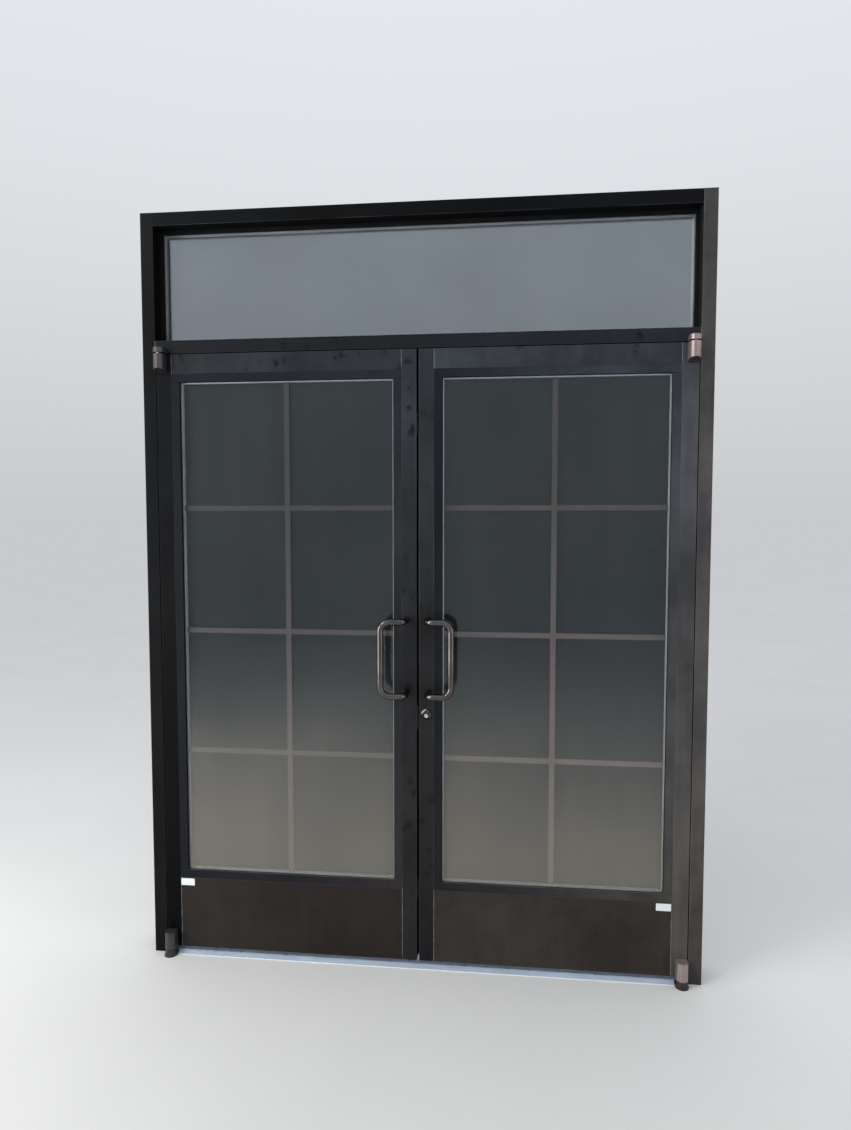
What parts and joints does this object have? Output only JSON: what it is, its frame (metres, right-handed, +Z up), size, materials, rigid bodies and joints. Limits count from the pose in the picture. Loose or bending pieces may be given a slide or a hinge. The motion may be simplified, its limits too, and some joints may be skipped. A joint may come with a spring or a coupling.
{
  "type": "glazed double entrance door with frame",
  "caption": "Two glazed entrance leaves on offset pivots in a dark metal frame with a fixed light above, pull handles, a swing bolt lock, flush bolts and a threshold.",
  "frame": {"origin": "on the floor, at the middle of the opening and at the middle of the leaves' thickness", "axes": "+X to the right seen from outside, +Y into the building, +Z up; the outside faces -Y"},
  "size_m": [1.9178, 0.2064, 2.6098],
  "materials": {
    "dark_aluminium": "dark bronze anodised, satin",
    "mill_aluminium": "mill finish, fluted",
    "glass": "clear, polished",
    "black_rubber": "matt",
    "spacer_metal": "mill finish",
    "grille_enamel": "tan enamel",
    "pivot_metal": "grey metallic paint",
    "satin_steel": "satin",
    "bolt_steel": "zinc plated",
    "lock_trim": "oxidised dark",
    "lock_plug": "nickel plated"
  },
  "bodies": {
    "frame": {"left_jamb": "dark_aluminium", "right_jamb": "dark_aluminium", "head": "dark_aluminium", "transom_bar": "dark_aluminium", "threshold": "mill_aluminium", "left_jamb_stop": "dark_aluminium", "right_jamb_stop": "dark_aluminium", "door_head_stop": "dark_aluminium", "transom_outer_stops": "dark_aluminium", "transom_inner_stops": "dark_aluminium", "frame_weatherstrip": "black_rubber", "transom_outer_pane": "glass", "transom_inner_pane": "glass", "transom_spacer": "spacer_metal", "transom_gaskets": "black_rubber", "left_top_bracket": "pivot_metal", "left_floor_pivot": "pivot_metal", "right_top_bracket": "pivot_metal", "right_floor_pivot": "pivot_metal"},
    "left_leaf": {"left_hinge_stile": "dark_aluminium", "left_meeting_stile": "dark_aluminium", "left_top_rail": "dark_aluminium", "left_bottom_rail": "dark_aluminium", "left_outer_stops": "dark_aluminium", "left_inner_stops": "dark_aluminium", "left_gaskets": "black_rubber", "left_outer_pane": "glass", "left_inner_pane": "glass", "left_spacer": "spacer_metal", "left_grille": "grille_enamel", "left_top_pivot_arm": "pivot_metal", "left_bottom_pivot_arm": "pivot_metal", "left_outside_pull": "satin_steel", "left_inside_pull": "satin_steel", "strike_plate": "bolt_steel", "flush_bolt_guides": "bolt_steel"},
    "right_leaf": {"right_hinge_stile": "dark_aluminium", "right_meeting_stile": "dark_aluminium", "right_top_rail": "dark_aluminium", "right_bottom_rail": "dark_aluminium", "right_outer_stops": "dark_aluminium", "right_inner_stops": "dark_aluminium", "right_gaskets": "black_rubber", "right_outer_pane": "glass", "right_inner_pane": "glass", "right_spacer": "spacer_metal", "right_grille": "grille_enamel", "right_top_pivot_arm": "pivot_metal", "right_bottom_pivot_arm": "pivot_metal", "right_outside_pull": "satin_steel", "right_inside_pull": "satin_steel", "lock_case": "bolt_steel", "lock_cylinder": "lock_trim", "thumb_turn_cylinder": "lock_trim", "meeting_seal": "black_rubber"},
    "deadbolt": {"deadbolt": "bolt_steel"},
    "key_plug": {"key_plug": "lock_plug"},
    "thumb_turn": {"thumb_turn": "lock_trim"},
    "top_flush_bolt": {"top_flush_bolt": "bolt_steel"},
    "bottom_flush_bolt": {"bottom_flush_bolt": "bolt_steel"}
  },
  "joints": [
    {"name": "left_leaf_swing", "type": "hinge", "parent": "frame", "child": "left_leaf", "pos_m": [-0.89215, -0.04127, 0], "axis": [0, 0, -1], "range_deg": [0, 90]},
    {"name": "right_leaf_swing", "type": "hinge", "parent": "frame", "child": "right_leaf", "pos_m": [0.89215, -0.04127, 0], "axis": [0, 0, 1], "range_deg": [0, 90]},
    {"name": "deadbolt_throw", "type": "hinge", "parent": "right_leaf", "child": "deadbolt", "pos_m": [0.017, 0, 0.86], "axis": [0, -1, 0], "range_deg": [0, 90]},
    {"name": "key_turn", "type": "hinge", "parent": "right_leaf", "child": "key_plug", "pos_m": [0.0294, -0.0282, 0.893], "axis": [0, -1, 0], "range_deg": [0, 90]},
    {"name": "thumb_turn_rotate", "type": "hinge", "parent": "right_leaf", "child": "thumb_turn", "pos_m": [0.0294, 0.0282, 0.893], "axis": [0, -1, 0], "range_deg": [0, 90]},
    {"name": "top_flush_bolt_slide", "type": "slide", "parent": "left_leaf", "child": "top_flush_bolt", "axis": [0, 0, 1], "range_m": [0, 0.019]},
    {"name": "bottom_flush_bolt_slide", "type": "slide", "parent": "left_leaf", "child": "bottom_flush_bolt", "axis": [0, 0, -1], "range_m": [0, 0.019]}
  ],
  "couplings": [
    {"joint": "key_turn", "follows": "deadbolt_throw", "ratio": 1},
    {"joint": "thumb_turn_rotate", "follows": "deadbolt_throw", "ratio": 1}
  ]
}
